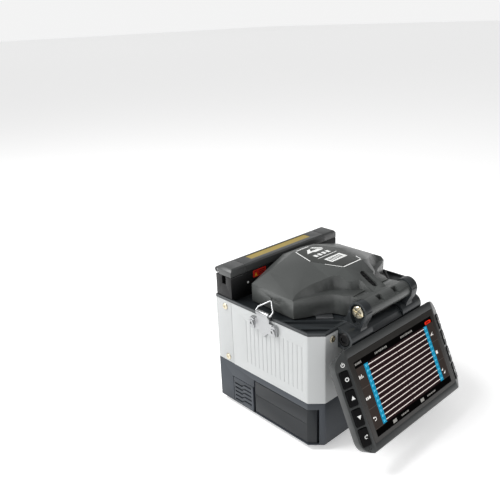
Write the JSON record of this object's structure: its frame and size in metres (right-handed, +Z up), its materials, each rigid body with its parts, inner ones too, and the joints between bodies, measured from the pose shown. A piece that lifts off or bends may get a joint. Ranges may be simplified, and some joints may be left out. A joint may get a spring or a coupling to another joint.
{
  "type": "fiber fusion splicer",
  "caption": "Portable fibre splicer with a hinged wind cover, tilting touch monitor with side keys, tube heater at the rear, slide-out battery and strap rings.",
  "frame": {"origin": "centre of the bounding box in X and Y, on the surface the rubber feet stand on", "axes": "+Z up; -Y is the front, where the monitor is; +X is the right-hand side seen from the front"},
  "size_m": [0.1358, 0.15, 0.1259],
  "materials": {
    "base_plastic": "fine moulded texture",
    "battery_plastic": "fine moulded texture",
    "satin_aluminium": "satin, lightly sprayed",
    "cover_grey": "fine satin paint",
    "deck_plastic": "fine moulded texture",
    "black_plastic": "matte black",
    "lid_grey": "satin paint",
    "black_rubber": "matte",
    "polished_steel": "polished",
    "machined_aluminium": "machined",
    "nickel_brass": "nickel plated",
    "brass": "turned",
    "circuit_board": "solder mask",
    "amber_window": "translucent amber",
    "red_label": "printed film",
    "badge": "satin film",
    "white_diffuser": "diffuser",
    "display_glass": "glossy black cover glass",
    "lcd": "panel",
    "monitor_plastic": "satin moulded",
    "button_plastic": "satin black",
    "optics": "black anodised with lens"
  },
  "bodies": {
    "chassis": {"aluminium_shell": "satin_aluminium", "base_tray": "base_plastic", "bracket_screws": "polished_steel", "cover_hinge_pin": "polished_steel", "cover_hinge_screws": "nickel_brass", "dc_inlet": "black_plastic", "deck_clip_plates": "machined_aluminium", "deck_frame": "deck_plastic", "electrode_holders": "black_plastic", "electrodes": "polished_steel", "fibre_stages": "machined_aluminium", "heater_hinge_pin": "polished_steel", "heater_housing": "black_plastic", "heating_plate": "machined_aluminium", "high_voltage_module": "black_plastic", "hinge_end_caps": "black_plastic", "main_board": "circuit_board", "mechanism_chassis": "machined_aluminium", "monitor_hinge_pin": "polished_steel", "objective_lenses": "optics", "rear_panel": "black_plastic", "rubber_feet": "black_rubber", "shell_screws": "nickel_brass", "side_plate_left": "satin_aluminium", "side_plate_right": "satin_aluminium", "stage_motors": "polished_steel", "strap_bracket_left": "polished_steel", "strap_bracket_right": "polished_steel", "tripod_insert": "brass", "usb_port": "polished_steel", "v_groove_block": "machined_aluminium", "warning_label": "red_label"},
    "wind_cover": {"wind_cover": "cover_grey", "cover_badge": "badge", "status_lamps": "black_plastic", "cover_mirror_bar": "white_diffuser"},
    "monitor": {"monitor_bezel": "monitor_plastic", "monitor_rear_shell": "monitor_plastic", "monitor_arm": "deck_plastic", "display_glass": "display_glass", "lcd_panel": "lcd", "monitor_board": "circuit_board"},
    "heater_lid": {"heater_lid": "lid_grey", "heater_window": "amber_window"},
    "heater_clamp_left": {"heater_clamp_left": "lid_grey"},
    "heater_clamp_right": {"heater_clamp_right": "lid_grey"},
    "battery_pack": {"battery_pack": "battery_plastic"},
    "battery_latch": {"battery_latch": "base_plastic"},
    "strap_ring_left": {"strap_ring_left": "polished_steel"},
    "strap_ring_right": {"strap_ring_right": "polished_steel"},
    "holder_lid_left": {"holder_lid_left": "machined_aluminium"},
    "holder_lid_right": {"holder_lid_right": "machined_aluminium"},
    "button_left_1": {"button_left_1": "button_plastic"},
    "button_left_2": {"button_left_2": "button_plastic"},
    "button_left_3": {"button_left_3": "button_plastic"},
    "button_left_4": {"button_left_4": "button_plastic"},
    "button_right_1": {"button_right_1": "button_plastic"},
    "button_right_2": {"button_right_2": "button_plastic"},
    "button_right_3": {"button_right_3": "button_plastic"},
    "button_right_4": {"button_right_4": "button_plastic"}
  },
  "joints": [
    {"name": "cover_hinge", "type": "hinge", "parent": "chassis", "child": "wind_cover", "pos_m": [0, -0.03942, 0.106], "axis": [1, 0, 0], "range_deg": [0, 95]},
    {"name": "monitor_tilt", "type": "hinge", "parent": "chassis", "child": "monitor", "pos_m": [0, -0.03702, 0.0883], "axis": [-1, 0, 0], "range_deg": [-22, 52]},
    {"name": "heater_lid_hinge", "type": "hinge", "parent": "chassis", "child": "heater_lid", "pos_m": [0, 0.07218, 0.1175], "axis": [-1, 0, 0], "range_deg": [0, 95]},
    {"name": "heater_clamp_left_hinge", "type": "hinge", "parent": "chassis", "child": "heater_clamp_left", "pos_m": [-0.055, 0.07218, 0.1175], "axis": [-1, 0, 0], "range_deg": [0, 95]},
    {"name": "heater_clamp_right_hinge", "type": "hinge", "parent": "chassis", "child": "heater_clamp_right", "pos_m": [0.053, 0.07218, 0.1175], "axis": [-1, 0, 0], "range_deg": [0, 95]},
    {"name": "battery_slide", "type": "slide", "parent": "chassis", "child": "battery_pack", "axis": [-1, 0, 0], "range_m": [0, 0.06]},
    {"name": "battery_latch_press", "type": "slide", "parent": "chassis", "child": "battery_latch", "axis": [1, 0, 0], "range_m": [0, 0.0025], "stiffness_N_per_m": 400},
    {"name": "strap_ring_left_swing", "type": "hinge", "parent": "chassis", "child": "strap_ring_left", "pos_m": [-0.0656, 0.01868, 0.0982], "axis": [0, -1, 0], "range_deg": [0, 200]},
    {"name": "strap_ring_right_swing", "type": "hinge", "parent": "chassis", "child": "strap_ring_right", "pos_m": [0.0656, 0.01868, 0.0982], "axis": [0, 1, 0], "range_deg": [0, 200]},
    {"name": "holder_lid_left_hinge", "type": "hinge", "parent": "chassis", "child": "holder_lid_left", "pos_m": [-0.029, 0.03138, 0.0989], "axis": [-1, 0, 0], "range_deg": [0, 60]},
    {"name": "holder_lid_right_hinge", "type": "hinge", "parent": "chassis", "child": "holder_lid_right", "pos_m": [0.029, 0.03138, 0.0989], "axis": [-1, 0, 0], "range_deg": [0, 60]},
    {"name": "button_left_1_press", "type": "slide", "parent": "monitor", "child": "button_left_1", "axis": [0.4044, 0.8309, -0.3822], "range_m": [0, 0.0008], "stiffness_N_per_m": 1500},
    {"name": "button_left_2_press", "type": "slide", "parent": "monitor", "child": "button_left_2", "axis": [0.4044, 0.8309, -0.3822], "range_m": [0, 0.0008], "stiffness_N_per_m": 1500},
    {"name": "button_left_3_press", "type": "slide", "parent": "monitor", "child": "button_left_3", "axis": [0.4044, 0.8309, -0.3822], "range_m": [0, 0.0008], "stiffness_N_per_m": 1500},
    {"name": "button_left_4_press", "type": "slide", "parent": "monitor", "child": "button_left_4", "axis": [0.4044, 0.8309, -0.3822], "range_m": [0, 0.0008], "stiffness_N_per_m": 1500},
    {"name": "button_right_1_press", "type": "slide", "parent": "monitor", "child": "button_right_1", "axis": [-0.4044, 0.8309, -0.3822], "range_m": [0, 0.0008], "stiffness_N_per_m": 1500},
    {"name": "button_right_2_press", "type": "slide", "parent": "monitor", "child": "button_right_2", "axis": [-0.4044, 0.8309, -0.3822], "range_m": [0, 0.0008], "stiffness_N_per_m": 1500},
    {"name": "button_right_3_press", "type": "slide", "parent": "monitor", "child": "button_right_3", "axis": [-0.4044, 0.8309, -0.3822], "range_m": [0, 0.0008], "stiffness_N_per_m": 1500},
    {"name": "button_right_4_press", "type": "slide", "parent": "monitor", "child": "button_right_4", "axis": [-0.4044, 0.8309, -0.3822], "range_m": [0, 0.0008], "stiffness_N_per_m": 1500}
  ]
}
